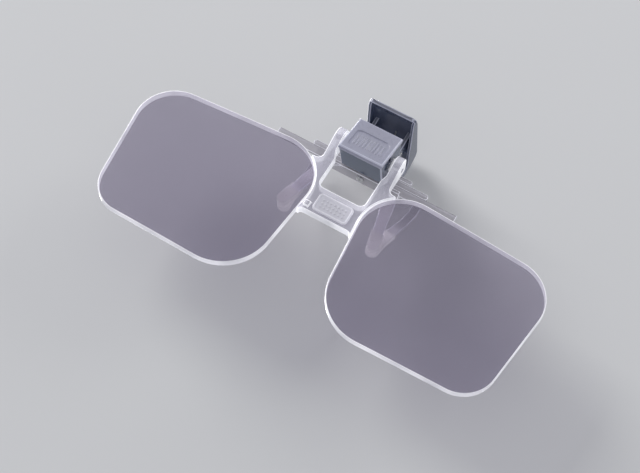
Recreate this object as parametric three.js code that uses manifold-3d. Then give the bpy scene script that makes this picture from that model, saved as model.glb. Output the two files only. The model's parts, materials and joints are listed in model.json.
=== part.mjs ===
// A flip-up clip-on for spectacles. Two lens plates hang on a clear bridge, and the bridge
// swings up on an axle through a small hinge block. The block carries the front jaw and, on
// a sprung lever, the rear jaw. Millimetres: +X to the viewer's right, -Y to the front, +Z up.
import * as THREE from "three";
import { mergeVertices } from "three/addons/utils/BufferGeometryUtils.js";
import Module from "manifold-3d";

const wasm = await Module();
wasm.setup();

// ---- driving dimensions -------------------------------------------------------------
const GAP = 0.1; // between bonded or screwed pieces
const FIT = 0.1; // radial, round a pin
const ARC_STEPS = 8; // straight pieces in a rounded corner
const WIDE_ARC_STEPS = 16; // in a corner wider than WIDE_RADIUS
const WIDE_RADIUS = 5;
const CIRCLE_STEPS = 24;
const FAR = 40; // past the end of any piece, for a cut that goes right through

// Lens plate outline as [x, z, corner radius], right-hand lens.
const LENS_THICKNESS = 2.0;
const LENS_MIDDLE = [33, 21];
const LENS_CORNERS = [
  [10.1, 0.0, 13.7],
  [55.0, 0.8, 9.3],
  [60.0, 39.5, 10.8],
  [6.1, 43.05, 12.1],
];

// Bridge plate and the two ears that hold the axle.
const BRIDGE_PROUD = 0.25; // in front of and behind the lenses
const BRIDGE_BOTTOM = 25.35;
const BRIDGE_TOP = 33.3;
const EAR_INNER = 6.55;
const EAR_INNER_TOP = 7.3;
const EAR_OUTER = 9.9;
const EAR_TOP = 51.1;
const EAR_ROOT = 41.6; // where the hub's sides run into the plate
const EAR_DRAFT = 0.1;
const PLATE_TOP = 43.5;
const PLATE_FOOT = { x: 6.2, z: 23.85, radius: 1.5 };
const HUB_RADIUS = 2.9;
const BADGE = { left: -4.55, right: 5.35, bottom: 26.2, top: 31.5, corner: 1.1, thickness: 0.5 };
const GATE = { x: -6.15, z: 27.1, size: 1.8, height: 0.5 };

// Flip axle: round ends in the ears, a square cam inside the block.
const FLIP_Y = 0;
const FLIP_Z = 48.2;
const AXLE_RADIUS = 0.8;
const AXLE_HALF = 9.5;
const CAM_SIDE = 2.8;
const CAM_HALF = 4.4;
const WASHER = { inner: 6.5, outer: 7.1, radius: 2.2 };

// Hinge block: a tilted front, an open cavity behind the cover, two knuckles at the top rear.
const BLOCK_HALF = 6.15;
const COVER_FOOT = [-6.3, 43.05]; // y, z of the cover's lower front edge
const COVER_HEAD = [-3.3, 54.6];
const COVER_THICKNESS = 1.1;
const COVER_HALF = 6.3;
const RECESS = { halfWidth: 4.9, bottom: 44.4, shoulder: 49.6, top: 51.2, depth: 0.3 };
const RECESS_ROUNDING = { corner: 1.4, crown: 8 };
const BLOCK_TOP = 54.3;
const BLOCK_STEP = 53.4;
const BLOCK_BACK = 8.4;
const BLOCK_STEP_FRONT = 4.9;
const BLOCK_HEEL = [5.2, 44.7]; // y, z of the lower rear edge
const CAVITY = { halfWidth: 4.9, bottom: 45.1, top: 51.6, back: 3.2 };
const KNUCKLE = { inner: 2.9, outer: 4.0, radius: 2.1, rootFront: 5.6 };

// Detent leaf: a sprung strip on the cavity's floor, bowed up under the cam, as [y, z, bend].
const LEAF = { halfWidth: 4.4, thickness: 0.3 };
const LEAF_PATH = [
  [-2.9, 45.55],
  [-1.3, 45.9, 1],
  [1.3, 45.9, 1],
  [2.9, 45.55],
];

// Lever and its pin.
const LEVER_Y = 8;
const LEVER_Z = 56.5;
const LEVER_PIN_RADIUS = 0.75;
const LEVER_PIN_HALF = 5.6;
const LEVER_HALF = 6.75;
const LEVER_SKIN = 1.1;
const LEVER_CORNER = 1.5;
const LEVER_RIM = { width: 0.8, front: -2.5, bottom: 59.6, back: 2.6, corner: 2.0 };
const LUG = { inner: 4.3, outer: 5.3, radius: 2.1 };
const LUG_ROOTS = [
  [5.2, 62.4],
  [12.1, 63.7],
];
// Outer side of the lever as [y, z, bend radius], from the thumb edge to the foot.
const LEVER_PATH = [
  [-4.9, 60.6],
  [-1.0, 62.2, 6.0],
  [18.6, 65.5, 2.6],
  [20.4, 61.0, 3.0],
  [20.4, 56.8],
];

// Torsion spring round the lever pin. Its foot rests on the block, its leg under the lever.
const SPRING = { wire: 0.25, radius: 1.35, halfWidth: 1.75, turns: 4, leg: 5.2, lift: 59 };
const SPRING_FOOT = { front: 4.7, back: 6.3, lift: 0.1 };

// Front jaw: two fingers, an arch between them, a shelf and a long crossbar.
const JAW_SKIN = 1.0;
const FRONT_FINGER_RADIUS = 1.15;
const FRONT_FINGER_PATH = [
  [3.35, 23.6],
  [6.5, 44.6],
];
const FRONT_TIP = [13.2, 27.0];
const FRONT_ROOT_Z = 38.2;
const FRONT_ROOT = [9.1, 12.5];
const ARCH = { halfWidth: 7.9, corner: 3.2 };
const SHELF = { halfWidth: 11.2, front: 5.9, bottom: 44.5, clearance: 0.3 };
const CROSSBAR = { halfLength: 26.7, front: 8.9, bottom: 45.7, top: 48.3 };

// Rear jaw: a back plate in the lever, a sloped web, two rails and two bowed fingers.
const BACK_PLATE = { halfWidth: 5.4, front: 18.1, thickness: 1.05, bottom: 56.8, top: 61.0 };
const REAR_CROSSBAR = { halfLength: 17.3, front: 11.0, back: 12.2, bottom: 49.3, top: 51.1 };
const REAR_RAIL = { halfLength: 10.8, front: 15.4, back: 16.6, bottom: 53.8, top: 55.1 };
const REAR_FINGER_RADIUS = 1.3;
const REAR_FINGER_PATH = [
  [11.6, 50.2],
  [15.2, 49.8, 1.2],
  [16.7, 46.8, 1.5],
  [15.2, 42.3, 3.0],
  [7.4, 30.8, 3.0],
  [6.35, 23.8],
];
const REAR_TIP = [13.0, 27.2];
const REAR_ROOT_Z = 51.0;
const REAR_ROOT = [14.2, 16.6];
const REAR_BEND = 1.5;

// Soft sleeves on the finger tips.
const PAD = { wall: 0.3, slack: 0.13 };
const FRONT_PAD_TOP = 31.0;
const REAR_PAD_TOP = 35.5;

// Screws.
const SCREW = { shank: 0.6, head: 1.1, headHeight: 0.65 };
const JAW_SCREW = { y: 7.4, length: 4.6, tipRoom: 0.9 };
const LEVER_SCREW = { x: 3.2, z: 59.2, length: 2.9 };

// ---- outlines -----------------------------------------------------------------------

// Points of a closed outline through [u, v, radius] corners, each rounded by an arc.
function rounded(corners, closed = true) {
  const points = [];
  corners.forEach(([u, v, radius = 0], i) => {
    const isEnd = !closed && (i === 0 || i === corners.length - 1);
    if (!radius || isEnd) {
      points.push(new THREE.Vector2(u, v));
      return;
    }
    const corner = new THREE.Vector2(u, v);
    const before = corners.at(i - 1);
    const after = corners[(i + 1) % corners.length];
    const back = new THREE.Vector2(before[0] - u, before[1] - v).normalize();
    const on = new THREE.Vector2(after[0] - u, after[1] - v).normalize();
    const half = Math.acos(back.dot(on)) / 2;
    const centre = back.clone().add(on).normalize().multiplyScalar(radius / Math.sin(half));
    centre.add(corner);
    const start = corner.clone().addScaledVector(back, radius / Math.tan(half)).sub(centre);
    const turn = (Math.PI - 2 * half) * (back.cross(on) > 0 ? -1 : 1);
    const steps = radius > WIDE_RADIUS ? WIDE_ARC_STEPS : ARC_STEPS;
    for (let k = 0; k <= steps; k++) {
      const arm = start.clone().rotateAround(new THREE.Vector2(), (turn * k) / steps);
      points.push(arm.add(centre));
    }
  });
  return points;
}

// Points round a circle in any of the section planes.
function circle(u, v, radius, steps = CIRCLE_STEPS) {
  return Array.from({ length: steps }, (_, k) => {
    const angle = (2 * Math.PI * (k + 0.5)) / steps;
    return new THREE.Vector2(u + radius * Math.cos(angle), v + radius * Math.sin(angle));
  });
}

// The convex outline round a set of points.
function hull(points) {
  const sorted = [...points].sort((a, b) => a.x - b.x || a.y - b.y);
  const side = (list) => {
    const chain = [];
    for (const p of list) {
      while (chain.length > 1) {
        const [a, b] = chain.slice(-2);
        if (b.clone().sub(a).cross(p.clone().sub(b)) > 1e-9) break;
        chain.pop();
      }
      chain.push(p);
    }
    chain.pop();
    return chain;
  };
  return [...side(sorted), ...side(sorted.reverse())];
}

// The line a set distance to the right of an open path, with mitred corners.
function beside(path, distance) {
  return path.map((p, i) => {
    const along = [];
    if (i > 0) along.push(p.clone().sub(path[i - 1]).normalize());
    if (i < path.length - 1) along.push(path[i + 1].clone().sub(p).normalize());
    const mean = along.reduce((sum, d) => sum.add(d), new THREE.Vector2()).normalize();
    const stretch = 1 / mean.dot(along.length > 1 ? path[i + 1].clone().sub(p).normalize() : mean);
    return p.clone().add(new THREE.Vector2(mean.y, -mean.x).multiplyScalar(distance * stretch));
  });
}

// A strip of even thickness: from left to right of an open [u, v, radius] path.
function strip(corners, left, right) {
  const path = rounded(corners, false);
  return [...beside(path, -left), ...beside(path, right).reverse()];
}

// ---- solids -------------------------------------------------------------------------

function solidOf(geometry) {
  geometry.deleteAttribute("normal");
  geometry.deleteAttribute("uv");
  const merged = mergeVertices(geometry, 1e-4);
  return new wasm.Manifold(
    new wasm.Mesh({
      numProp: 3,
      vertProperties: merged.attributes.position.array,
      triVerts: new Uint32Array(merged.index.array),
    }),
  );
}

function extrude(points, depth) {
  return new THREE.ExtrudeGeometry(new THREE.Shape(points), { depth, bevelEnabled: false });
}

const X = new THREE.Vector3(1, 0, 0);
const Y = new THREE.Vector3(0, 1, 0);
const Z = new THREE.Vector3(0, 0, 1);

// An outline in (y, z), from x0 to x1.
function alongX(points, x0, x1) {
  const place = new THREE.Matrix4().makeBasis(Y, Z, X).setPosition(x0, 0, 0);
  return solidOf(extrude(points, x1 - x0).applyMatrix4(place));
}

// An outline in (x, z), from y0 to y1.
function alongY(points, y0, y1) {
  const place = new THREE.Matrix4().makeBasis(X, Z, Y.clone().negate()).setPosition(0, y1, 0);
  return solidOf(extrude(points, y1 - y0).applyMatrix4(place));
}

// An outline in (x, y), from z0 to z1.
function alongZ(points, z0, z1) {
  return solidOf(extrude(points, z1 - z0).translate(0, 0, z0));
}

function box(x0, x1, y0, y1, z0, z1) {
  const size = new THREE.BoxGeometry(x1 - x0, y1 - y0, z1 - z0);
  return solidOf(size.translate((x0 + x1) / 2, (y0 + y1) / 2, (z0 + z1) / 2));
}

// Left to right of an outline's points, for the piece on the other side.
function sided(points, side) {
  return points.map((p) => new THREE.Vector2(side * p.x, p.y));
}

function acrossX(points, inner, outer, side) {
  return alongX(points, Math.min(side * inner, side * outer), Math.max(side * inner, side * outer));
}

// ---- materials ----------------------------------------------------------------------

function plastic(color, roughness, opacity = 1) {
  return new THREE.MeshStandardMaterial({
    color,
    roughness,
    metalness: 0,
    opacity,
    transparent: opacity < 1,
  });
}

const lensAcrylic = plastic(0xb9b4c4, 0.08, 0.5);
const clearPlastic = plastic(0xe4e4ec, 0.12, 0.6);
const frostedPlastic = plastic(0xc9c8d0, 0.5);
const smokePlastic = plastic(0x70778c, 0.22);
const jawPlastic = plastic(0xb8bac4, 0.2, 0.7);
const silicone = plastic(0xcfc6cf, 0.45, 0.6);
const steel = new THREE.MeshStandardMaterial({ color: 0xb8bbc0, roughness: 0.3, metalness: 1 });

// ---- pieces -------------------------------------------------------------------------

const pieces = new THREE.Group();

function add(name, solid, material) {
  const { vertProperties, triVerts } = solid.getMesh();
  const geometry = new THREE.BufferGeometry();
  geometry.setAttribute("position", new THREE.BufferAttribute(vertProperties, 3));
  geometry.setIndex(new THREE.BufferAttribute(triVerts, 1));
  geometry.computeVertexNormals();
  const mesh = new THREE.Mesh(geometry, material);
  mesh.name = name;
  pieces.add(mesh);
}

// The lens outline grown by a margin on every side.
function lensOutline(side, margin = 0) {
  const [midX, midZ] = LENS_MIDDLE;
  const grown = LENS_CORNERS.map(([x, z, radius]) => [
    x + Math.sign(x - midX) * margin,
    z + Math.sign(z - midZ) * margin,
    radius + margin,
  ]);
  return sided(rounded(grown), side);
}

function lens(side) {
  return alongY(lensOutline(side), 0, LENS_THICKNESS);
}

function bridgeFrame() {
  // The plate, its feet that run down the lens edges, and the shoulders under the ears.
  const foot = PLATE_FOOT;
  const half = [[0, BRIDGE_BOTTOM]];
  for (const degrees of [90, 70, 50, 30]) {
    const angle = THREE.MathUtils.degToRad(degrees);
    half.push([foot.x + foot.radius * Math.cos(angle), foot.z + foot.radius * Math.sin(angle)]);
  }
  const lowEnd = half.at(-1)[1];
  half.push([12, lowEnd], [13, 36], [12.2, 40.4], [EAR_OUTER, 40.4, 1.6]);
  half.push([EAR_OUTER - EAR_DRAFT, EAR_TOP, 1.3], [EAR_INNER_TOP, EAR_TOP, 1.0]);
  half.push([EAR_INNER_TOP, 44.0, 1.0], [EAR_INNER, 42.2, 1.0], [EAR_INNER, BRIDGE_TOP, 1.6]);
  const left = half.slice(1).reverse().map(([x, z, radius]) => [-x, z, radius]);
  const blank = rounded([...half, ...left]);
  const plate = alongY(blank, -BRIDGE_PROUD, LENS_THICKNESS + BRIDGE_PROUD).intersect(
    box(-FAR, FAR, -FAR, FAR, -FAR, PLATE_TOP),
  );
  const earSide = hull([
    ...circle(FLIP_Y, FLIP_Z, HUB_RADIUS),
    new THREE.Vector2(-BRIDGE_PROUD, EAR_ROOT),
    new THREE.Vector2(LENS_THICKNESS + BRIDGE_PROUD, EAR_ROOT),
  ]);
  let solid = plate;
  for (const side of [-1, 1]) {
    const ear = alongY(blank, -HUB_RADIUS - 1, HUB_RADIUS + 1).intersect(
      acrossX(earSide, EAR_INNER - 0.2, EAR_OUTER + 3, side),
    );
    solid = solid.add(ear);
    const notch = alongY(lensOutline(side, GAP), -FAR, FAR);
    solid = solid.subtract(notch);
  }
  const gate = box(
    GATE.x - GATE.size / 2,
    GATE.x + GATE.size / 2,
    -BRIDGE_PROUD - GATE.height,
    0,
    GATE.z - GATE.size / 2,
    GATE.z + GATE.size / 2,
  );
  const bore = alongX(circle(FLIP_Y, FLIP_Z, AXLE_RADIUS + FIT), -FAR, FAR);
  return solid.add(gate).subtract(bore);
}

function bridgeBadge() {
  const { left, right, bottom, top, corner, thickness } = BADGE;
  const outline = rounded([
    [left, bottom, corner],
    [right, bottom, corner],
    [right, top, corner],
    [left, top, corner],
  ]);
  const back = -BRIDGE_PROUD - GAP / 2;
  return alongY(outline, back - thickness, back);
}

function flipAxle() {
  const rod = alongX(circle(FLIP_Y, FLIP_Z, AXLE_RADIUS), -AXLE_HALF, AXLE_HALF);
  const half = CAM_SIDE / 2;
  const cam = box(-CAM_HALF, CAM_HALF, FLIP_Y - half, FLIP_Y + half, FLIP_Z - half, FLIP_Z + half);
  return rod.add(cam);
}

function flipWasher(side) {
  const { inner, outer, radius } = WASHER;
  const disc = acrossX(circle(FLIP_Y, FLIP_Z, radius), inner, outer, side);
  const bore = acrossX(circle(FLIP_Y, FLIP_Z, AXLE_RADIUS + FIT), inner - 1, outer + 1, side);
  return disc.subtract(bore);
}

// The unit vector square to the cover's front, pointing into the block.
function coverInward() {
  const up = new THREE.Vector2(COVER_HEAD[0] - COVER_FOOT[0], COVER_HEAD[1] - COVER_FOOT[1]);
  up.normalize();
  return new THREE.Vector2(up.y, -up.x);
}

// Foot and head of a plane parallel to the cover's front, a set depth behind it.
function coverPlane(depth) {
  const inward = coverInward();
  return [COVER_FOOT, COVER_HEAD].map(([y, z]) =>
    new THREE.Vector2(y, z).addScaledVector(inward, depth),
  );
}

function blockFrontCover() {
  const [foot, head] = coverPlane(0);
  const [backFoot, backHead] = coverPlane(COVER_THICKNESS);
  const plate = alongX([foot, backFoot, backHead, head], -COVER_HALF, COVER_HALF);
  const { halfWidth, bottom, shoulder, top, depth } = RECESS;
  const { corner, crown } = RECESS_ROUNDING;
  const window = alongY(
    rounded([
      [-halfWidth, bottom, corner],
      [halfWidth, bottom, corner],
      [halfWidth, shoulder, corner],
      [0, top, crown],
      [-halfWidth, shoulder, corner],
    ]),
    -FAR,
    FAR,
  );
  const [outFoot, outHead] = coverPlane(-depth);
  const [inFoot, inHead] = coverPlane(depth);
  const skim = alongX([outFoot, inFoot, inHead, outHead], -COVER_HALF, COVER_HALF);
  return plate.subtract(window.intersect(skim));
}

function hingeBlock() {
  const [foot] = coverPlane(COVER_THICKNESS + GAP);
  const slope = (COVER_HEAD[0] - COVER_FOOT[0]) / (COVER_HEAD[1] - COVER_FOOT[1]);
  const front = foot.x + slope * (BLOCK_TOP - foot.y);
  const shelfSeat = SHELF.bottom + JAW_SKIN + SHELF.clearance;
  const side = [
    [foot.x, foot.y],
    BLOCK_HEEL,
    [BLOCK_HEEL[0], shelfSeat],
    [BLOCK_BACK, shelfSeat],
    [BLOCK_BACK, BLOCK_STEP],
    [BLOCK_STEP_FRONT, BLOCK_STEP],
    [BLOCK_STEP_FRONT, BLOCK_TOP],
    [front, BLOCK_TOP],
  ].map(([y, z]) => new THREE.Vector2(y, z));
  let solid = alongX(side, -BLOCK_HALF, BLOCK_HALF);
  const knuckleSide = hull([
    ...circle(LEVER_Y, LEVER_Z, KNUCKLE.radius),
    new THREE.Vector2(KNUCKLE.rootFront, BLOCK_STEP - 0.5),
    new THREE.Vector2(BLOCK_BACK, BLOCK_STEP - 0.5),
  ]);
  const { halfWidth, bottom, top, back } = CAVITY;
  solid = solid.subtract(box(-halfWidth, halfWidth, -FAR, back, bottom, top));
  for (const s of [-1, 1]) {
    solid = solid.add(acrossX(knuckleSide, KNUCKLE.inner, KNUCKLE.outer, s));
  }
  const slot = AXLE_RADIUS + FIT;
  solid = solid.subtract(box(-FAR, FAR, -FAR, FLIP_Y, FLIP_Z - slot, FLIP_Z + slot));
  solid = solid.subtract(alongX(circle(FLIP_Y, FLIP_Z, slot), -FAR, FAR));
  solid = solid.subtract(alongX(circle(LEVER_Y, LEVER_Z, LEVER_PIN_RADIUS + FIT), -FAR, FAR));
  const screwTip = SHELF.bottom + JAW_SCREW.length + JAW_SCREW.tipRoom;
  return solid.subtract(alongZ(circle(0, JAW_SCREW.y, SCREW.shank + FIT), -FAR, screwTip));
}

function detentLeaf() {
  return alongX(strip(LEAF_PATH, 0, LEAF.thickness), -LEAF.halfWidth, LEAF.halfWidth);
}

function lever() {
  const skin = alongX(strip(LEVER_PATH, 0, LEVER_SKIN), -LEVER_HALF, LEVER_HALF);
  const plan = alongZ(
    rounded([
      [-LEVER_HALF, LEVER_PATH[0][0], LEVER_CORNER],
      [LEVER_HALF, LEVER_PATH[0][0], LEVER_CORNER],
      [LEVER_HALF, FAR],
      [-LEVER_HALF, FAR],
    ]),
    0,
    2 * FAR,
  );
  const lugSide = hull([
    ...circle(LEVER_Y, LEVER_Z, LUG.radius),
    ...LUG_ROOTS.map(([y, z]) => new THREE.Vector2(y, z)),
  ]);
  const inside = LEVER_PATH.at(-1)[0] - LEVER_RIM.back;
  const rimSide = rounded([
    ...LEVER_PATH,
    [inside, LEVER_PATH.at(-1)[1]],
    [inside, LEVER_RIM.bottom, LEVER_RIM.corner],
    [LEVER_RIM.front, LEVER_RIM.bottom],
  ]);
  let solid = skin;
  for (const side of [-1, 1]) {
    solid = solid.add(acrossX(rimSide, LEVER_HALF - LEVER_RIM.width, LEVER_HALF, side));
  }
  solid = solid.intersect(plan);
  for (const side of [-1, 1]) {
    solid = solid.add(acrossX(lugSide, LUG.inner, LUG.outer, side));
    const hole = circle(side * LEVER_SCREW.x, LEVER_SCREW.z, SCREW.shank + FIT);
    solid = solid.subtract(alongY(hole, BACK_PLATE.front - 1, FAR));
  }
  return solid.subtract(alongX(circle(LEVER_Y, LEVER_Z, LEVER_PIN_RADIUS + FIT), -FAR, FAR));
}

function leverPin() {
  return alongX(circle(LEVER_Y, LEVER_Z, LEVER_PIN_RADIUS), -LEVER_PIN_HALF, LEVER_PIN_HALF);
}

function torsionSpring() {
  const { wire, radius, halfWidth, turns, leg, lift } = SPRING;
  const startAngle = -Math.PI / 2;
  const endAngle = 2 * Math.PI * turns + THREE.MathUtils.degToRad(lift);
  const floor = LEVER_Z - radius;
  const foot = SPRING_FOOT;
  const points = [new THREE.Vector3(-halfWidth, foot.front, floor + foot.lift)];
  points.push(new THREE.Vector3(-halfWidth, foot.back, floor + foot.lift * 0.4));
  const coilSteps = 12 * turns + 5;
  for (let k = 0; k <= coilSteps; k++) {
    const angle = startAngle + ((endAngle - startAngle) * k) / coilSteps;
    const x = -halfWidth + (2 * halfWidth * k) / coilSteps;
    points.push(
      new THREE.Vector3(x, LEVER_Y + radius * Math.cos(angle), LEVER_Z + radius * Math.sin(angle)),
    );
  }
  const tangent = new THREE.Vector3(0, -Math.sin(endAngle), Math.cos(endAngle));
  const leave = points.at(-1);
  points.push(leave.clone().addScaledVector(tangent, leg / 3));
  points.push(leave.clone().addScaledVector(tangent, leg));
  const path = new THREE.CatmullRomCurve3(points, false, "centripetal");
  const section = new THREE.Shape(circle(0, 0, wire, 6));
  return solidOf(
    new THREE.ExtrudeGeometry(section, { steps: 2 * points.length, extrudePath: path }),
  );
}

// A finger seen from the front: a round tip tapering up to two root points.
function fingerOutline([tipX, tipZ], radius, roots, side) {
  const root = roots.map(([x, z]) => new THREE.Vector2(x, z));
  return sided(hull([...circle(tipX, tipZ, radius), ...root]), side);
}

function frontJaw() {
  const shelfTop = SHELF.bottom + JAW_SKIN;
  const web = rounded([
    [-SHELF.halfWidth, shelfTop],
    [-FRONT_ROOT[1], FRONT_ROOT_Z],
    [-FRONT_ROOT[0], FRONT_ROOT_Z - 0.05],
    [-ARCH.halfWidth, SHELF.bottom, ARCH.corner],
    [ARCH.halfWidth, SHELF.bottom, ARCH.corner],
    [FRONT_ROOT[0], FRONT_ROOT_Z - 0.05],
    [FRONT_ROOT[1], FRONT_ROOT_Z],
    [SHELF.halfWidth, shelfTop],
  ]);
  let face = alongY(web, 0, FAR);
  for (const side of [-1, 1]) {
    const finger = fingerOutline(FRONT_TIP, FRONT_FINGER_RADIUS, FRONT_ROOTS, side);
    face = face.add(alongY(finger, 0, FAR));
  }
  const skin = JAW_SKIN / 2;
  const fingers = face.intersect(alongX(strip(FRONT_FINGER_PATH, skin, skin), -FAR, FAR));
  const { halfLength, front, bottom, top } = CROSSBAR;
  const back = front + JAW_SKIN;
  const shelf = box(-SHELF.halfWidth, SHELF.halfWidth, SHELF.front, back, SHELF.bottom, shelfTop);
  const riser = box(-SHELF.halfWidth, SHELF.halfWidth, front, back, SHELF.bottom, bottom + 0.5);
  const bar = box(-halfLength, halfLength, front, back, bottom, top);
  const hole = alongZ(circle(0, JAW_SCREW.y, SCREW.shank + FIT), FAR, 2 * FAR);
  const headRoom = alongZ(circle(0, JAW_SCREW.y, SCREW.head + 2 * FIT), FAR, SHELF.bottom);
  return fingers.add(shelf).add(riser).add(bar).subtract(hole).subtract(headRoom);
}

// A rail across the jaw with round ends.
function rail({ halfLength, front, back, bottom, top }) {
  const corner = (top - bottom) * 0.45;
  const outline = rounded([
    [-halfLength, bottom, corner],
    [halfLength, bottom, corner],
    [halfLength, top, corner],
    [-halfLength, top, corner],
  ]);
  return alongY(outline, front, back);
}

const FRONT_ROOTS = FRONT_ROOT.map((x) => [x, FRONT_ROOT_Z]);
const REAR_ROOTS = REAR_ROOT.map((x) => [x, REAR_ROOT_Z]);

function rearJaw() {
  const skin = JAW_SKIN / 2;
  const { halfWidth, front, thickness, bottom, top } = BACK_PLATE;
  const middle = front + thickness / 2;
  const bend = [middle, bottom + 0.2, REAR_BEND];
  const web = strip([REAR_FINGER_PATH[0], bend, [middle, top]], skin, skin);
  let solid = alongX(web, -halfWidth, halfWidth).add(rail(REAR_CROSSBAR)).add(rail(REAR_RAIL));
  const bow = alongX(strip(REAR_FINGER_PATH, skin, skin), -FAR, FAR);
  for (const side of [-1, 1]) {
    const outline = fingerOutline(REAR_TIP, REAR_FINGER_RADIUS, REAR_ROOTS, side);
    solid = solid.add(alongY(outline, 0, FAR).intersect(bow));
    const hole = circle(side * LEVER_SCREW.x, LEVER_SCREW.z, SCREW.shank + FIT);
    solid = solid.subtract(alongY(hole, front - 1, FAR));
  }
  return solid;
}

// A soft sleeve closed round a finger tip and open at its top.
function pad(path, tip, radius, roots, top, side) {
  const sleeve = (grow) => {
    const wide = roots.map(([x, z], i) => [x + (i ? grow : -grow), z]);
    const outline = fingerOutline(tip, radius + grow, wide, side);
    const half = JAW_SKIN / 2 + grow;
    return alongY(outline, 0, FAR).intersect(alongX(strip(path, half, half), -FAR, FAR));
  };
  const outer = sleeve(PAD.wall + PAD.slack).intersect(box(-FAR, FAR, 0, FAR, 0, top));
  return outer.subtract(sleeve(PAD.slack));
}

function frontPad(side) {
  return pad(FRONT_FINGER_PATH, FRONT_TIP, FRONT_FINGER_RADIUS, FRONT_ROOTS, FRONT_PAD_TOP, side);
}

function rearPad(side) {
  return pad(REAR_FINGER_PATH, REAR_TIP, REAR_FINGER_RADIUS, REAR_ROOTS, REAR_PAD_TOP, side);
}

// A screw that points along +Z from its head, at the origin of its own frame.
function screwSolid(length) {
  const head = alongZ(circle(0, 0, SCREW.head), -SCREW.headHeight, 0);
  return head.add(alongZ(circle(0, 0, SCREW.shank), -0.1, length));
}

function frontJawScrew() {
  return screwSolid(JAW_SCREW.length).translate([0, JAW_SCREW.y, SHELF.bottom - GAP]);
}

function rearJawScrew(side) {
  const { x, z, length } = LEVER_SCREW;
  const back = LEVER_PATH.at(-1)[0] + GAP;
  return screwSolid(length).rotate([90, 0, 0]).translate([side * x, back, z]);
}

add("hinge_block", hingeBlock(), smokePlastic);
add("block_front_cover", blockFrontCover(), smokePlastic);
add("detent_leaf", detentLeaf(), steel);
add("lever_pin", leverPin(), steel);
add("front_jaw", frontJaw(), jawPlastic);
add("front_jaw_screw", frontJawScrew(), steel);
add("bridge_frame", bridgeFrame(), clearPlastic);
add("bridge_badge", bridgeBadge(), frostedPlastic);
add("flip_axle", flipAxle(), steel);
add("lever", lever(), smokePlastic);
add("rear_jaw", rearJaw(), jawPlastic);
add("torsion_spring", torsionSpring(), steel);
for (const [name, side] of [["left", -1], ["right", 1]]) {
  add(`lens_${name}`, lens(side), lensAcrylic);
  add(`flip_washer_${name}`, flipWasher(side), steel);
  add(`front_pad_${name}`, frontPad(side), silicone);
  add(`rear_pad_${name}`, rearPad(side), silicone);
  add(`rear_jaw_screw_${name}`, rearJawScrew(side), steel);
}

// The origin is under the middle of the whole object.
const bounds = new THREE.Box3().setFromObject(pieces);
pieces.position.set(0, -(bounds.min.y + bounds.max.y) / 2, -bounds.min.z);

const clipOn = new THREE.Group();
clipOn.add(pieces);
export default clipOn;
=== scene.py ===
import json
import math

import bmesh
import bpy
from mathutils import Matrix, Vector


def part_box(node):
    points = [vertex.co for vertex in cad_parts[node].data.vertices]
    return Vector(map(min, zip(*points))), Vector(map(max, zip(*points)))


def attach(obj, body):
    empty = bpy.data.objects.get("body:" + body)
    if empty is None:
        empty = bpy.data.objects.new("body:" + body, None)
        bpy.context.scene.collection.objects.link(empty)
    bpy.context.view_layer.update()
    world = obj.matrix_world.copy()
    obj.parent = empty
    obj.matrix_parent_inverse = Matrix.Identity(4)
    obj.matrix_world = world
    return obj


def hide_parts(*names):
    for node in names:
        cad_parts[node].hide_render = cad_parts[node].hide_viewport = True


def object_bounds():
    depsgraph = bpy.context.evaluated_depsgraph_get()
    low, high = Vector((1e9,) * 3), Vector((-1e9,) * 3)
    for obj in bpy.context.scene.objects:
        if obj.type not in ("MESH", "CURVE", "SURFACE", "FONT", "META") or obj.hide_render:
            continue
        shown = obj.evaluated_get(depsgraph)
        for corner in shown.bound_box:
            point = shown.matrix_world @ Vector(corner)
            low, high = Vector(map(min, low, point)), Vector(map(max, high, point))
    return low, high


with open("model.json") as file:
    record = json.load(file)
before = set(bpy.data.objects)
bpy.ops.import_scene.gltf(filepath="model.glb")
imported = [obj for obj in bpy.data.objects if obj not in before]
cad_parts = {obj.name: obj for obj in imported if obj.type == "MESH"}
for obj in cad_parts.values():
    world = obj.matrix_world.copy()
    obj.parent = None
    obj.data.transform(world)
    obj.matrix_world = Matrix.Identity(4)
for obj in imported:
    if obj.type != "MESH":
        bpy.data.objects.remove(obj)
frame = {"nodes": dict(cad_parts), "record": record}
CAD_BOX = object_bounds()
CENTRE = (CAD_BOX[0] + CAD_BOX[1]) / 2
MM = 0.001
BODY_OF = {
    node: body for body, nodes in frame["record"]["behaviour"]["bodies"].items() for node in nodes
}

# ---- materials -------------------------------------------------------------------------


def graph(name):
    """A new material with an empty node tree, and a function that adds one node to it."""
    material = bpy.data.materials.new(name)
    material.use_nodes = True
    tree = material.node_tree
    tree.nodes.clear()

    def node(kind, inputs=None, **settings):
        made = tree.nodes.new("ShaderNode" + kind)
        for key, value in settings.items():
            setattr(made, key, value)
        for key, value in (inputs or {}).items():
            if isinstance(value, bpy.types.NodeSocket):
                tree.links.new(value, made.inputs[key])
            else:
                made.inputs[key].default_value = value
        return made

    return material, node


def mixed(node, share, first, second):
    return node("MixShader", {"Fac": share, 1: first, 2: second}).outputs["Shader"]


def ranged(node, value, low, high, start=0.0, end=1.0):
    """value taken from low..high to start..end. Any of them may be a socket."""
    return node("MapRange", {
        "Value": value, "From Min": low, "From Max": high, "To Min": start, "To Max": end,
    }).outputs["Result"]


def moulded_surface(node, roughness, waves):
    """Object position, gloss and normal of moulded plastic: slow flow waves and fine scuffs."""
    place = node("TexCoord").outputs["Object"]
    flow = node("TexNoise", {"Vector": place, "Scale": 90.0, "Detail": 2.0}).outputs["Fac"]
    scuffs = node("TexNoise", {"Vector": place, "Scale": 420.0, "Detail": 6.0, "Distortion": 1.5})
    gloss = ranged(node, scuffs.outputs["Fac"], 0.35, 0.7, roughness * 0.7, roughness * 1.5)
    bump = node("Bump", {"Height": flow, "Strength": 0.12, "Distance": waves})
    return place, gloss, bump.outputs["Normal"]


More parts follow.
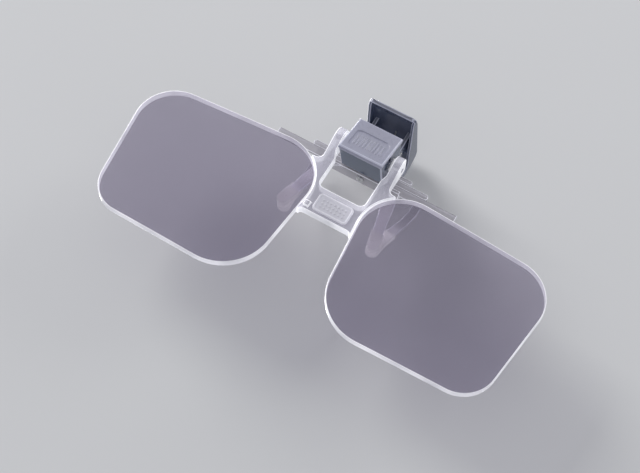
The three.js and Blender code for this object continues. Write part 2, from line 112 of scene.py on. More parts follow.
def see_through(
    name, tint, body, haze, roughness, painted_glow=0.0, low_angle=0.4, dust=0.05, milky=None
):
    """Clear or smoked plastic: tinted light passes, some scatters in the body, and it shines.

    tint is what one surface lets through, and haze the share that scatters in the body colour.
    low_angle is how much more scatters where the surface is seen at a low angle. painted_glow is
    painted light: an emission, uneven in patches, that makes the piece shine though it is no lamp.
    milky is (height where upright milky streaks start, height where they are full, painted light
    they add)."""
    material, node = graph(name)
    place, gloss, normal = moulded_surface(node, roughness, 0.04 * MM)
    patches = node("TexNoise", {"Vector": place, "Scale": 45.0, "Detail": 4.0}).outputs["Fac"]
    shade = ranged(node, patches, 0.3, 0.7, 0.92, 1.05)
    colour = node("VectorMath", {0: body, 1: shade}, operation="MULTIPLY").outputs["Vector"]
    passed = node("BsdfTransparent", {"Color": (*tint, 1)}).outputs["BSDF"]
    lit = node("BsdfDiffuse", {"Color": colour, "Normal": normal}).outputs["BSDF"]
    through = node("BsdfTranslucent", {"Color": colour, "Normal": normal}).outputs["BSDF"]
    facing = node("LayerWeight", {"Blend": 0.35, "Normal": normal}).outputs["Facing"]
    share = ranged(node, facing, 0.0, 1.0, haze, min(1.0, haze + low_angle))
    specks = node("TexVoronoi", {"Vector": place, "Scale": 650.0}).outputs["Distance"]
    speck = ranged(node, specks, 0.05, 0.12, dust, 0.0)
    share = node("Math", {0: share, 1: speck}, operation="ADD", use_clamp=True).outputs["Value"]
    if milky:
        start, full, painted_glow_added = milky
        height = node("SeparateXYZ", {"Vector": place}).outputs["Z"]
        stretched = node("Mapping", {"Vector": place, "Scale": (2600.0, 2600.0, 240.0)})
        streaks = node("TexNoise", {"Vector": stretched.outputs["Vector"], "Detail": 3.0})
        most = ranged(node, streaks.outputs["Fac"], 0.35, 0.65, 0.1, 0.5)
        milk = ranged(node, height, start, full, 0.0, most)
        # The streaks are the plastic's own; the emission that rises with them is painted light.
        painted_glow = ranged(node, height, start, full, painted_glow, painted_glow + painted_glow_added)
        share = node("Math", {0: share, 1: milk}, operation="ADD", use_clamp=True).outputs["Value"]
    inside = mixed(node, share, passed, mixed(node, 0.35, lit, through))
    shine = node("BsdfGlossy", {"Roughness": gloss, "Normal": normal, "Color": (1, 1, 1, 1)})
    fresnel = node("Fresnel", {"IOR": 1.49, "Normal": normal}).outputs["Fac"]
    # Light passes unbent, so only the outer side of a surface reflects.
    from_inside = node("NewGeometry").outputs["Backfacing"]
    gleam = mixed(node, fresnel, inside, shine.outputs["BSDF"])
    surface = mixed(node, from_inside, gleam, inside)
    # Painted light: an emission, uneven in patches, makes the piece shine though it is no lamp.
    if painted_glow:
        runs = node("TexNoise", {"Vector": place, "Scale": 110.0, "Detail": 2.0}).outputs["Fac"]
        uneven = ranged(node, runs, 0.3, 0.7, 0.3, 1.6)
        strength = node("Math", {0: uneven, 1: painted_glow}, operation="MULTIPLY").outputs["Value"]
        light = node("Emission", {"Color": colour, "Strength": strength}).outputs["Emission"]
        surface = node("AddShader", {0: surface, 1: light}).outputs["Shader"]
    node("OutputMaterial", {"Surface": surface})
    return material


def soft_rubber(name, tint, body, painted_glow):
    """Milky silicone: it scatters nearly all light, with a dull, slightly dusty skin."""
    material, node = graph(name)
    place = node("TexCoord").outputs["Object"]
    cloud = node("TexNoise", {"Vector": place, "Scale": 160.0, "Detail": 5.0}).outputs["Fac"]
    grain = node("TexNoise", {"Vector": place, "Scale": 2600.0, "Detail": 3.0}).outputs["Fac"]
    shade = ranged(node, cloud, 0.3, 0.7, 0.88, 1.06)
    colour = node("VectorMath", {0: body, 1: shade}, operation="MULTIPLY").outputs["Vector"]
    bump = node("Bump", {"Height": grain, "Strength": 0.35, "Distance": 0.03 * MM})
    normal = bump.outputs["Normal"]
    skin_light = node("BsdfPrincipled", {
        "Base Color": colour, "Roughness": 0.55, "Normal": normal, "Sheen Weight": 0.2,
    }).outputs["BSDF"]
    through = node("BsdfTranslucent", {"Color": colour, "Normal": normal}).outputs["BSDF"]
    passed = node("BsdfTransparent", {"Color": (*tint, 1)}).outputs["BSDF"]
    milky = mixed(node, 0.4, skin_light, through)
    # Painted light: an emission that makes the silicone brighter though it is no lamp.
    light = node("Emission", {"Color": colour, "Strength": painted_glow}).outputs["Emission"]
    rubber = mixed(node, 0.3, milky, passed)
    node("OutputMaterial", {"Surface": node("AddShader", {0: rubber, 1: light}).outputs[0]})
    return material


def turned_steel(name, tone, roughness):
    """Bright steel with fine drawing lines along X and a few darker spots."""
    material, node = graph(name)
    place = node("TexCoord").outputs["Object"]
    stretched = node("Mapping", {"Vector": place, "Scale": (300.0, 3000.0, 3000.0)})
    lines = node("TexNoise", {"Vector": stretched.outputs["Vector"], "Scale": 1.0, "Detail": 4.0})
    spots = node("TexNoise", {"Vector": place, "Scale": 500.0, "Detail": 2.0}).outputs["Fac"]
    dull = ranged(node, spots, 0.55, 0.75, roughness, roughness * 1.8)
    colour = ranged(node, lines.outputs["Fac"], 0.0, 1.0, tone * 0.8, tone * 1.2)
    bump = node("Bump", {"Height": lines.outputs["Fac"], "Strength": 0.25, "Distance": 0.02 * MM})
    metal = node("BsdfPrincipled", {
        "Base Color": colour, "Metallic": 1.0, "Roughness": dull, "Normal": bump.outputs["Normal"],
    })
    node("OutputMaterial", {"Surface": metal.outputs["BSDF"]})
    return material


# The ears and the lower fingers have upright milky streaks, which are the plastic's own; the light
# that the streaks add is painted light, an emission that makes the ears and fingers brighter.
EAR_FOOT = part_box("bridge_frame")[0].z + 11 * MM
EARS_MILK_AND_GLOW = (EAR_FOOT, EAR_FOOT + 9 * MM, 0.05)
PAD_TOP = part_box("front_pad_left")[1].z
FINGERS_MILK_AND_GLOW = (PAD_TOP + 13 * MM, PAD_TOP + 7 * MM, 0.4)
# Clear and smoked plastics are (tint, body colour, haze, roughness), then the extras by name.
MATERIALS = {
    "lens": see_through(
        "lens", (0.725, 0.70, 0.765), (0.40, 0.385, 0.455), 0.16, 0.05, low_angle=0.1, dust=0.03
    ),
    # Painted highlight: a lighter copy of the lens with a painted emission, on its rounded rim.
    "lens_edge_highlight": see_through(
        "lens_edge_highlight", (0.8, 0.8, 0.84), (0.94, 0.935, 0.96), 0.8, 0.2, painted_glow=0.22
    ),
    "clear": see_through(
        "clear", (0.84, 0.83, 0.87), (0.62, 0.61, 0.67), 0.4, 0.1, milky=EARS_MILK_AND_GLOW
    ),
    # Painted highlight: a lighter copy of the clear plastic with a painted emission, for the
    # bridge's walls and rounded edges.
    "clear_edge_highlight": see_through("clear_edge_highlight", (0.9, 0.9, 0.92), (0.97, 0.97, 0.99), 0.8, 0.15, 0.26),
    # The badge's frosted plastic has a faint painted emission, and its rim a lighter copy with
    # more: a painted highlight.
    "frosted": see_through("frosted", (0.7, 0.7, 0.75), (0.78, 0.77, 0.82), 0.9, 0.5, painted_glow=0.06),
    "frosted_rim_highlight": see_through(
        "frosted_rim_highlight", (0.8, 0.8, 0.85), (0.88, 0.87, 0.92), 0.9, 0.4, painted_glow=0.1
    ),
    "cover": see_through("cover", (0.4, 0.42, 0.48), (0.54, 0.54, 0.645), 0.9, 0.3),
    # Painted highlight: a lighter copy of the cover with a painted emission, on its rounded edges.
    "cover_edge_highlight": see_through(
        "cover_edge_highlight", (0.6, 0.62, 0.7), (0.74, 0.75, 0.86), 0.9, 0.2, painted_glow=0.12
    ),
    "smoke": see_through("smoke", (0.34, 0.38, 0.47), (0.125, 0.148, 0.22), 0.82, 0.16),
    # Painted highlight: a lighter copy of the smoke with a painted emission, on the rounded edges
    # of the block and the lever.
    "smoke_edge_highlight": see_through(
        "smoke_edge_highlight", (0.6, 0.62, 0.7), (0.56, 0.57, 0.68), 0.9, 0.15, painted_glow=0.12
    ),
    # Painted highlight: a lighter copy of the smoke for the lever's faces that look to the front.
    "smoke_rim_highlight": see_through("smoke_rim_highlight", (0.5, 0.52, 0.6), (0.38, 0.385, 0.45), 0.85, 0.2),
    # The jaws' plastic has a faint painted emission.
    "jaw": see_through(
        "jaw", (0.78, 0.77, 0.79), (0.56, 0.545, 0.575), 0.5, 0.15, painted_glow=0.02, milky=FINGERS_MILK_AND_GLOW
    ),
    "block": see_through("block", (0.30, 0.37, 0.48), (0.095, 0.13, 0.215), 0.84, 0.16),
    # Painted highlight: a lighter copy of the jaw plastic with a painted emission, on the jaws'
    # rounded edges.
    "jaw_edge_highlight": see_through("jaw_edge_highlight", (0.8, 0.8, 0.85), (0.9, 0.9, 0.95), 0.8, 0.15, painted_glow=0.12),
    "silicone": soft_rubber("silicone", (0.88, 0.88, 0.87), (0.86, 0.85, 0.84), painted_glow=0.19),
    "steel": turned_steel("steel", 0.62, 0.26),
    "spring_steel": turned_steel("spring_steel", 0.42, 0.34),
}

# ---- mesh tools ------------------------------------------------------------------------


def place_piece(name, mesh, node, materials, crease=30.0):
    """Makes the bmesh a piece that rides on the node's body and stands for the node."""
    data = bpy.data.meshes.new(name)
    mesh.to_mesh(data)
    mesh.free()
    data.shade_smooth()
    data.set_sharp_from_angle(angle=math.radians(crease))
    for material in materials:
        data.materials.append(MATERIALS[material])
    piece = bpy.data.objects.new(name, data)
    bpy.context.scene.collection.objects.link(piece)
    shading = piece.modifiers.new("shading", "WEIGHTED_NORMAL")
    shading.keep_sharp = True
    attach(piece, BODY_OF[node])
    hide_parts(node)
    return piece


# Middles of the round pieces, whose holes run through the other solids.
HOLE_MIDDLES = [
    sum(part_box(node), Vector()) / 2
    for node in ("flip_axle", "lever_pin", "front_jaw_screw", "rear_jaw_screw_left",
                 "rear_jaw_screw_right")
]

# Corners closer than this are one corner, which also removes strips of no width.
WELD = 0.002 * MM
ON_PLANE = 1e-7
FLAT_WITHIN = math.radians(0.6)


def cleaned(node):
    """The node's solid with its triangles joined into whole faces. A seam through the middle
    of each hole splits the faces round it, so that no face has a hole in it."""
    mesh = bmesh.new()
    mesh.from_mesh(frame["nodes"][node].data)
    bmesh.ops.remove_doubles(mesh, verts=mesh.verts, dist=WELD)
    low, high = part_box(node)
    for middle in HOLE_MIDDLES:
        for axis in range(3):
            if not low[axis] < middle[axis] < high[axis]:
                continue
            normal = Vector([float(k == axis) for k in range(3)])
            cut = bmesh.ops.bisect_plane(
                mesh, geom=mesh.verts[:] + mesh.edges[:] + mesh.faces[:],
                plane_co=middle, plane_no=normal, dist=ON_PLANE,
            )
            for piece in cut["geom_cut"]:
                if isinstance(piece, bmesh.types.BMEdge):
                    piece.seam = True
    bmesh.ops.dissolve_limit(
        mesh, angle_limit=FLAT_WITHIN, verts=mesh.verts, edges=mesh.edges, delimit={"SEAM"}
    )
    return mesh


def bevelled(node, width, fold=35.0, segments=3, keep=None):
    """The node's solid with its convex edges rounded; the rounded strips are material 1.
    keep(point) is true where an edge stays sharp."""
    mesh = cleaned(node)
    sharp = [
        edge
        for edge in mesh.edges
        if edge.is_manifold and edge.is_convex and edge.calc_face_angle() > math.radians(fold)
        and not (keep and keep(edge.verts[0].co))
    ]
    bmesh.ops.bevel(
        mesh,
        geom=sharp,
        offset=width * MM,
        offset_type="OFFSET",
        segments=segments,
        profile=0.5,
        affect="EDGES",
        clamp_overlap=False,
        material=1,
    )
    bmesh.ops.remove_doubles(mesh, verts=mesh.verts, dist=WELD)
    bmesh.ops.recalc_face_normals(mesh, faces=mesh.faces)
    bmesh.ops.triangulate(mesh, faces=[face for face in mesh.faces if len(face.verts) > 4])
    return mesh


def front_outline(node, longest=2.0 * MM):
    """Points (x, z) round the node's flat front face, anticlockwise, none far from the next."""
    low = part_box(node)[0].y
    front = [v.co for v in frame["nodes"][node].data.vertices if abs(v.co.y - low) < 0.01 * MM]
    corners = {(round(p.x, 6), round(p.z, 6)) for p in front}
    middle = sum((Vector(c) for c in corners), Vector((0, 0))) / len(corners)
    ordered = sorted(corners, key=lambda c: math.atan2(c[1] - middle.y, c[0] - middle.x))
    points = []
    for here, there in zip(ordered, ordered[1:] + ordered[:1]):
        start, step = Vector(here), Vector(there) - Vector(here)
        count = max(1, math.ceil(step.length / longest))
        points += [start + step * k / count for k in range(count)]
    return points, middle


def inset(points, distance):
    """The convex outline moved inwards by a distance."""
    moved = []
    for before, here, after in zip([points[-1]] + points, points, points[1:] + points[:1]):
        along = (after - before).normalized()
        moved.append(here + Vector((-along.y, along.x)) * distance)
    return moved


def skin(rings, edge=()):
    """A closed mesh over a run of equal rings, fanned at both ends. edge lists the steps
    between rings that take material 1."""
    mesh = bmesh.new()
    loops = [[mesh.verts.new(point) for point in ring] for ring in rings]
    count = len(rings[0])
    for k, (here, there) in enumerate(zip(loops, loops[1:])):
        for i in range(count):
            j = (i + 1) % count
            face = mesh.faces.new((here[i], here[j], there[j], there[i]))
            face.material_index = 1 if k in edge else 0
    for loop in (loops[0], loops[-1]):
        middle = mesh.verts.new(sum((v.co for v in loop), Vector()) / count)
        for i in range(count):
            mesh.faces.new((loop[i], loop[(i + 1) % count], middle))
    bmesh.ops.recalc_face_normals(mesh, faces=mesh.faces)
    return mesh


def circle(centre, right, up, radius, steps):
    turns = [2 * math.pi * k / steps for k in range(steps)]
    return [centre + (right * math.cos(t) + up * math.sin(t)) * radius for t in turns]


def add_mesh(target, extra):
    """Puts a second closed mesh in with the first."""
    data = bpy.data.meshes.new("extra")
    extra.to_mesh(data)
    extra.free()
    target.from_mesh(data)
    bpy.data.meshes.remove(data)


def smooth_step(value, low, high):
    share = min(1.0, max(0.0, (value - low) / (high - low)))
    return share * share * (3 - 2 * share)


def rounded_distance(a, b, half_a, half_b, corner):
    """How far a point lies outside a rounded rectangle about the origin; negative inside."""
    over_a, over_b = abs(a) - half_a + corner, abs(b) - half_b + corner
    outside = math.hypot(max(over_a, 0.0), max(over_b, 0.0))
    return outside + min(max(over_a, over_b), 0.0) - corner


# ---- lenses ----------------------------------------------------------------------------

LENS = {"crown": 0.45 * MM, "round": 0.3 * MM}
# Rings across the lens, as shares of the way from its middle to its outline.
LENS_SHARES = (0.15, 0.35, 0.55, 0.72, 0.86, 0.95)
# Turns that round an edge from one face to the next.
QUARTER = [math.radians(turn) for turn in (0, 30, 60, 90)]


def lens_plate(node):
    """A lens with a gently crowned front, a hollowed back and a rounded rim."""
    outline, middle = front_outline(node)
    low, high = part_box(node)
    rim = LENS["round"]
    reach = max((p - middle).length for p in outline)

    def place(p, depth):
        return (p.x, depth - LENS["crown"] * (1 - ((p - middle).length / reach) ** 2), p.y)

    sides = []
    for edge_y, inwards in ((low.y, 1), (high.y, -1)):
        rings = [
            [place(middle + (p - middle) * share, edge_y) for p in outline]
            for share in LENS_SHARES
        ]
        rings += [
            [
                place(p, edge_y + inwards * rim * (1 - math.cos(turn)))
                for p in inset(outline, rim * (1 - math.sin(turn)))
            ]
            for turn in QUARTER
        ]
        sides.append(rings)
    rings = sides[0] + sides[1][::-1]
    flat = len(LENS_SHARES)
    mesh = skin(rings, edge=range(flat, len(rings) - 1 - flat))
    place_piece(node + "_plate", mesh, node, ("lens", "lens_edge_highlight"), crease=60)


for side in ("left", "right"):
    lens_plate("lens_" + side)

# ---- cover of the hinge block ----------------------------------------------------------

COVER = {"round": 0.4 * MM, "step": 0.12 * MM, "panel_corner": 1.6 * MM, "soft": 0.22 * MM}
RIBS = {"count": 9, "pitch": 0.92 * MM, "half": 0.2 * MM, "length": 0.27, "height": 0.17 * MM}


def stops(low, high, rounding, step):
    """Places from low to high, close together over the rounding at either end."""
    curve = [rounding * (1 - math.cos(turn)) for turn in QUARTER]
    count = math.ceil((high - low - 2 * rounding) / step)
    flat = [low + rounding + (high - low - 2 * rounding) * k / count for k in range(1, count)]
    return [low + c for c in curve] + flat + [high - c for c in curve[::-1]]


def block_cover(node):
    """The cover with round edges, a sunk panel with a soft step, and upright ribs in it."""
    solid = frame["nodes"][node].data
    normal = max(solid.polygons, key=lambda face: -face.normal.y * face.area).normal.copy()
    right = Vector((1, 0, 0))
    up = normal.cross(right)
    points = [(v.co.dot(right), v.co.dot(up), v.co.dot(normal)) for v in solid.vertices]
    front, back = max(p[2] for p in points), min(p[2] for p in points)
    sunk = [p for p in points if back + 0.1 * MM < p[2] < front - 0.1 * MM]
    depth = front - max(p[2] for p in sunk)
    low_a, high_a = min(p[0] for p in points), max(p[0] for p in points)
    low_b, high_b = min(p[1] for p in points), max(p[1] for p in points)
    panel_low, panel_high = min(p[1] for p in sunk), max(p[1] for p in sunk)
    panel_middle = (panel_low + panel_high) / 2
    half_a, half_b = max(p[0] for p in sunk), (panel_high - panel_low) / 2

    def drop(a, b):
        edge = min(a - low_a, high_a - a, b - low_b, high_b - b)
        short = max(0.0, COVER["round"] - edge)
        fall = COVER["round"] - math.sqrt(max(0.0, COVER["round"] ** 2 - short ** 2))
        b -= panel_middle
        panel = rounded_distance(a, b, half_a, half_b, COVER["panel_corner"])
        fall += depth * smooth_step(-panel, -COVER["soft"] / 2, COVER["soft"] / 2)
        for k in range(RIBS["count"]):
            middle = (k - (RIBS["count"] - 1) / 2) * RIBS["pitch"]
            reach = max(0.0, abs(b) - RIBS["length"] * 2 * half_b)
            away = math.hypot(a - middle, reach)
            fall -= RIBS["height"] * smooth_step(-away, -1.5 * RIBS["half"], -0.4 * RIBS["half"])
        return fall, edge < COVER["round"] * 0.9

    across = stops(low_a, high_a, COVER["round"], COVER["step"])
    along = stops(low_b, high_b, COVER["round"], COVER["step"])
    mesh = bmesh.new()
    grid = [
        [mesh.verts.new(right * a + up * b + normal * (front - drop(a, b)[0])) for a in across]
        for b in along
    ]
    for j in range(len(along) - 1):
        for i in range(len(across) - 1):
            face = mesh.faces.new((grid[j][i], grid[j][i + 1], grid[j + 1][i + 1], grid[j + 1][i]))
            a, b = (across[i] + across[i + 1]) / 2, (along[j] + along[j + 1]) / 2
            # Faces on the rounded edge take the lighter edge material, a painted highlight.
            face.material_index = 1 if drop(a, b)[1] else 0
    border = grid[0][:-1] + [row[-1] for row in grid[:-1]]
    border += grid[-1][:0:-1] + [row[0] for row in grid[:0:-1]]
    foot = [mesh.verts.new(v.co - normal * (v.co.dot(normal) - back)) for v in border]
    for i in range(len(border)):
        j = (i + 1) % len(border)
        mesh.faces.new((border[i], foot[i], foot[j], border[j]))
    mesh.faces.new(foot[::-1])
    bmesh.ops.recalc_face_normals(mesh, faces=mesh.faces)
    place_piece(node + "_relief", mesh, node, ("cover", "cover_edge_highlight"))


block_cover("block_front_cover")

# ---- badge on the bridge ---------------------------------------------------------------

# Rings of the badge's front as (inwards from the outline, back from the front).
BADGE_RINGS = [(1.0, 0.13), (0.62, 0.13), (0.5, 0.02), (0.42, 0.0), (0.2, 0.0), (0.06, 0.06)]
BADGE_WALL_START = 0.2 * MM
DOTS = {"columns": 7, "rows": 3, "pitch": 1.05 * MM, "radius": 0.34 * MM, "height": 0.11 * MM}
# A dot's rings as turns from its foot to its crown, and the share of its height that is sunk.
DOT_TURNS = (0.0, 0.4, 0.8, 1.2, 1.5)
DOT_SUNK = 0.2
DOT_STEPS = 12


def badge(node):
    """The frosted badge: a raised rim round a field of small domed dots."""
    outline, middle = front_outline(node, longest=0.5 * MM)
    low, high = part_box(node)
    rings = [
        [(p.x, low.y + back * MM, p.y) for p in inset(outline, inwards * MM)]
        for inwards, back in BADGE_RINGS
    ]
    rings += [[(p.x, y, p.y) for p in outline] for y in (low.y + BADGE_WALL_START, high.y)]
    mesh = skin(rings, edge=range(1, len(rings) - 1))
    field = low.y + BADGE_RINGS[0][1] * MM
    forward = Vector((0, -1, 0))
    for row in range(DOTS["rows"]):
        for column in range(DOTS["columns"]):
            across = (column - (DOTS["columns"] - 1) / 2) * DOTS["pitch"]
            up = (row - (DOTS["rows"] - 1) / 2) * DOTS["pitch"]
            centre = Vector((middle.x + across, field, middle.y + up))
            rings = [
                circle(
                    centre + forward * (DOTS["height"] * (math.sin(t) * (1 + DOT_SUNK) - DOT_SUNK)),
                    Vector((1, 0, 0)), Vector((0, 0, 1)), DOTS["radius"] * math.cos(t), DOT_STEPS,
                )
                for t in DOT_TURNS
            ]
            add_mesh(mesh, skin(rings))
    place_piece(node + "_relief", mesh, node, ("frosted", "frosted_rim_highlight"), crease=40)


badge("bridge_badge")

# ---- soft sleeves ----------------------------------------------------------------------

# These are in millimetres, because the sleeves are remeshed at that size.
SLEEVE = {
    "voxel": 0.1, "relax": 8, "relax_share": 0.5,
    "lip": 0.11, "lip_height": 0.45, "lip_fade": 0.3, "belly": 0.04, "swell_in_depth": 0.35,
}
DIMPLE = {"above_tip": 2.3, "radius": 0.5, "depth": 0.16}


def soft_sleeve(node, has_dimple):
    """The sleeve remeshed finely and relaxed, in millimetres, then given a rolled lip at its
    open end, a slight belly and, on the front ones, a moulding dimple."""
    mesh = cleaned(node)
    bmesh.ops.scale(mesh, vec=(1 / MM,) * 3, verts=mesh.verts)
    data = bpy.data.meshes.new("coarse_sleeve")
    mesh.to_mesh(data)
    mesh.free()
    coarse = bpy.data.objects.new("coarse_sleeve", data)
    bpy.context.scene.collection.objects.link(coarse)
    remesh = coarse.modifiers.new("remesh", "REMESH")
    remesh.mode = "VOXEL"
    remesh.voxel_size = SLEEVE["voxel"]
    relax = coarse.modifiers.new("relax", "SMOOTH")
    relax.factor = SLEEVE["relax_share"]
    relax.iterations = SLEEVE["relax"]
    fine = bpy.data.meshes.new_from_object(
        coarse.evaluated_get(bpy.context.evaluated_depsgraph_get())
    )
    bpy.data.objects.remove(coarse)
    mesh = bmesh.new()
    mesh.from_mesh(fine)
    bpy.data.meshes.remove(fine)
    mesh.normal_update()
    low, high = (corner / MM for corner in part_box(node))
    tip_x = (low.x + high.x) / 2
    moves = []
    for v in mesh.verts:
        from_top = high.z - v.co.z
        near_lip = SLEEVE["lip_height"] - from_top
        swell = SLEEVE["lip"] * smooth_step(near_lip, 0.0, SLEEVE["lip_fade"])
        swell += SLEEVE["belly"] * math.sin(math.pi * min(1.0, from_top / (high.z - low.z)))
        move = Vector((v.normal.x, v.normal.y * SLEEVE["swell_in_depth"], 0)) * swell
        if has_dimple and v.normal.y < -0.5 and v.co.y < (low.y + high.y) / 2:
            away = math.hypot(v.co.x - tip_x, v.co.z - low.z - DIMPLE["above_tip"])
            move.y += DIMPLE["depth"] * smooth_step(-away, -DIMPLE["radius"], 0.0)
        moves.append(move)
    for v, move in zip(mesh.verts, moves):
        v.co = (v.co + move) * MM
    place_piece(node + "_sleeve", mesh, node, ("silicone",), crease=180)


for side in ("left", "right"):
    soft_sleeve("front_pad_" + side, has_dimple=True)
    soft_sleeve("rear_pad_" + side, has_dimple=False)

# ---- screws and spring -----------------------------------------------------------------

SCREW = {"head": 1.08 * MM, "head_height": 0.65 * MM, "core": 0.48 * MM, "thread": 0.6 * MM}
HEAD = {"dome": 0.26 * MM, "rim": 0.36 * MM, "foot": 0.08 * MM, "rings": 22, "steps": 96}
CROSS = {"half_width": 0.15 * MM, "reach": 0.62 * MM, "depth": 0.34 * MM, "soft": 0.07 * MM}
THREAD_PITCH = 0.4 * MM


def screw(node, outwards, right):
    """A domed screw with a cross recess; outwards is the way its head faces."""
    low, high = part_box(node)
    centre = (low + high) / 2
    up = outwards.cross(right)
    reach = abs((high - low).dot(outwards)) / 2
    top = centre + outwards * reach
    steps = HEAD["steps"]

    def dome(radius, angle):
        a, b = radius * math.cos(angle), radius * math.sin(angle)
        slim, long = min(abs(a), abs(b)), max(abs(a), abs(b))
        inside = max(slim - CROSS["half_width"], long - CROSS["reach"])
        sink = CROSS["depth"] * smooth_step(-inside, -CROSS["soft"] / 2, CROSS["soft"] / 2)
        sink *= 1 - 0.5 * smooth_step(long, 0.0, CROSS["reach"])
        return HEAD["dome"] * (radius / SCREW["head"]) ** 2 + sink

    rings = []
    for k in range(1, HEAD["rings"] + 1):
        radius = SCREW["head"] * 0.96 * k / HEAD["rings"]
        ring = circle(top, right, up, radius, steps)
        rings.append([
            p - outwards * dome(radius, 2 * math.pi * i / steps) for i, p in enumerate(ring)
        ])
    head = SCREW["head_height"]
    profile = [(SCREW["head"], HEAD["rim"]), (SCREW["head"], head - HEAD["foot"])]
    profile += [(SCREW["head"] * 0.95, head), (SCREW["core"], head)]
    depth = head + THREAD_PITCH
    while depth < 2 * reach - THREAD_PITCH:
        profile += [(SCREW["thread"] * 0.98, depth), (SCREW["core"], depth + THREAD_PITCH / 2)]
        depth += THREAD_PITCH
    profile.append((SCREW["core"] * 0.6, 2 * reach))
    rings += [circle(top - outwards * d, right, up, radius, steps) for radius, d in profile]
    place_piece(node + "_turned", skin(rings), node, ("steel",), crease=40)


screw("front_jaw_screw", Vector((0, 0, -1)), Vector((1, 0, 0)))
for side in ("left", "right"):
    screw("rear_jaw_screw_" + side, Vector((0, 1, 0)), Vector((1, 0, 0)))


def round_wire(node):
    """The spring's wire with its flats turned into a round section."""
    mesh = bmesh.new()
    mesh.from_mesh(frame["nodes"][node].data)
    bmesh.ops.remove_doubles(mesh, verts=mesh.verts, dist=WELD)
    bmesh.ops.join_triangles(
        mesh, faces=mesh.faces, angle_face_threshold=0.6, angle_shape_threshold=1.2
    )
    piece = place_piece(node + "_wire", mesh, node, ("spring_steel",), crease=180)
    rounding = piece.modifiers.new("rounding", "SUBSURF")
    rounding.levels = rounding.render_levels = 2


round_wire("torsion_spring")

# ---- pieces from the frame's solids ----------------------------------------------------

# Each as (material, edge material, width of the rounding in millimetres). The plastics' edge
# materials are lighter copies with a painted emission: painted highlights on the rounded strips.
BEVELLED = {
    "hinge_block": ("block", "smoke_edge_highlight", 0.32),
    "front_jaw": ("jaw", "jaw_edge_highlight", 0.2),
    "rear_jaw": ("jaw", "jaw_edge_highlight", 0.2),
    "flip_axle": ("steel", "steel", 0.12),
    "lever_pin": ("steel", "steel", 0.15),
    "detent_leaf": ("spring_steel", "spring_steel", 0.06),
    "flip_washer_left": ("steel", "steel", 0.12),
    "flip_washer_right": ("steel", "steel", 0.12),
}
for node, (material, edge, width) in BEVELLED.items():
    place_piece(node + "_moulded", bevelled(node, width), node, (material, edge))

# The bridge's walls take a lighter copy of the clear plastic with a painted emission: a painted
# highlight. The axle's holes stay sharp.
AXLE_LOW, AXLE_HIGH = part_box("flip_axle")
AXLE_MIDDLE = (AXLE_LOW + AXLE_HIGH) / 2
HOLE_KEEP = 1.3 * MM
BRIDGE_ROUND = 0.32
LEVER_ROUND = 0.25
bridge = bevelled(
    "bridge_frame", BRIDGE_ROUND, keep=lambda p: (p - AXLE_MIDDLE).yz.length < HOLE_KEEP
)
for face in bridge.faces:
    if abs(face.normal.y) < 0.5:
        face.material_index = 1
place_piece("bridge_frame_moulded", bridge, "bridge_frame", ("clear", "clear_edge_highlight"))

# The lever's faces that look to the front, at its rim, take a lighter copy of the smoke: a painted
# highlight.
lever = bevelled("lever", LEVER_ROUND)
for face in lever.faces:
    if face.material_index == 0 and face.normal.y < -0.6:
        face.material_index = 2
place_piece("lever_moulded", lever, "lever", ("smoke", "smoke_edge_highlight", "smoke_rim_highlight"))

# ---- stage, light and camera -----------------------------------------------------------

# The camera stands low and to the right of the front, and is rolled.
CAMERA = {
    "azimuth": 13.88,
    "elevation": -24.46,
    "roll": 33.57,
    "distance": 335.1 * MM,
    "aim_from_centre": Vector((-1.2, 3.0, -7.1)) * MM,
    "lens": 73.1,
    "sensor": 36,
}


def put_camera():
    azimuth, elevation = math.radians(CAMERA["azimuth"]), math.radians(CAMERA["elevation"])
    back = Vector((
        math.sin(azimuth) * math.cos(elevation),
        -math.cos(azimuth) * math.cos(elevation),
        math.sin(elevation),
    ))
    level = (-back).to_track_quat("-Z", "Y")
    roll = Matrix.Rotation(math.radians(CAMERA["roll"]), 4, "Z")
    aim = CENTRE + CAMERA["aim_from_centre"]
    camera = bpy.data.objects.new("camera", bpy.data.cameras.new("camera"))
    bpy.context.scene.collection.objects.link(camera)
    camera.matrix_world = (
        Matrix.Translation(aim + back * CAMERA["distance"]) @ level.to_matrix().to_4x4() @ roll
    )
    camera.data.lens = CAMERA["lens"]
    camera.data.sensor_width = CAMERA["sensor"]
    camera.data.clip_start = 0.01
    bpy.context.scene.camera = camera


def put_softbox(name, place, size, power):
    light = bpy.data.lights.new(name, "AREA")
    light.shape = "RECTANGLE"
    light.size, light.size_y = size
    light.energy = power
    softbox = bpy.data.objects.new(name, light)
    bpy.context.scene.collection.objects.link(softbox)
    softbox.location = CENTRE + Vector(place)
    softbox.rotation_mode = "QUATERNION"
    softbox.rotation_quaternion = (-Vector(place)).to_track_quat("-Z", "Y")


TABLE = {"half": 2.0, "gap": 0.2 * MM}
BACKDROP = {"colour": (0.80, 0.82, 0.88, 1), "light": 0.55, "seen": 0.8}


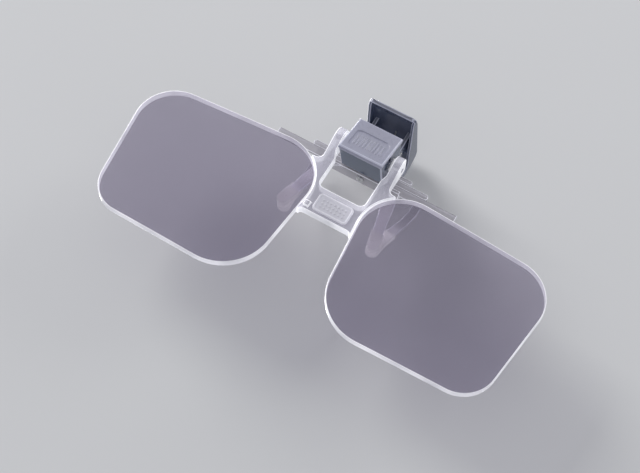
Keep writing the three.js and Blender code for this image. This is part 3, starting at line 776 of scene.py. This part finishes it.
def put_table():
    """A pale plane that the clip-on lies on with its back. It shows only from the front, and
    it lets the soft light of the room pass, so the back of the clip-on is lit too."""
    material, node = graph("table")
    place = node("TexCoord").outputs["Object"]
    cloud = node("TexNoise", {"Vector": place, "Scale": 6.0, "Detail": 3.0}).outputs["Fac"]
    tone = ranged(node, cloud, 0.0, 1.0, 0.66, 0.70)
    paper = node("BsdfDiffuse", {"Color": tone}).outputs["BSDF"]
    behind = node("NewGeometry").outputs["Backfacing"]
    looked_at = node("LightPath").outputs["Is Camera Ray"]
    share = node("Math", {0: looked_at, 1: behind}, operation="SUBTRACT", use_clamp=True)
    clear = node("BsdfTransparent").outputs["BSDF"]
    node("OutputMaterial", {"Surface": mixed(node, share.outputs["Value"], clear, paper)})
    half = TABLE["half"]
    y = CAD_BOX[1].y + TABLE["gap"]
    data = bpy.data.meshes.new("table")
    corners = [(-half, y, -half), (half, y, -half), (half, y, half), (-half, y, half)]
    data.from_pydata(corners, [], [(0, 1, 2, 3)])
    data.materials.append(material)
    table = bpy.data.objects.new("table", data)
    bpy.context.scene.collection.objects.link(table)


def put_world():
    """Soft light from all round, and a pale backdrop where the camera sees it."""
    world = bpy.data.worlds.new("studio")
    bpy.context.scene.world = world
    world.use_nodes = True
    tree = world.node_tree
    backdrop = tree.nodes["Background"]
    backdrop.inputs["Color"].default_value = BACKDROP["colour"]
    looked_at = tree.nodes.new("ShaderNodeLightPath").outputs["Is Camera Ray"]
    strength = tree.nodes.new("ShaderNodeMapRange")
    tree.links.new(looked_at, strength.inputs["Value"])
    strength.inputs["To Min"].default_value = BACKDROP["light"]
    strength.inputs["To Max"].default_value = BACKDROP["seen"]
    tree.links.new(strength.outputs["Result"], backdrop.inputs["Strength"])


put_camera()
put_table()
put_world()
put_softbox("key", (-1.25, -0.72, 0.45), (0.7, 0.7), 15.0)
put_softbox("rim", (0.45, -0.3, 0.7), (0.6, 0.4), 2.2)
put_softbox("back", (-0.45, 0.65, 0.35), (0.5, 0.5), 4.0)
bpy.context.scene.view_settings.view_transform = "Standard"
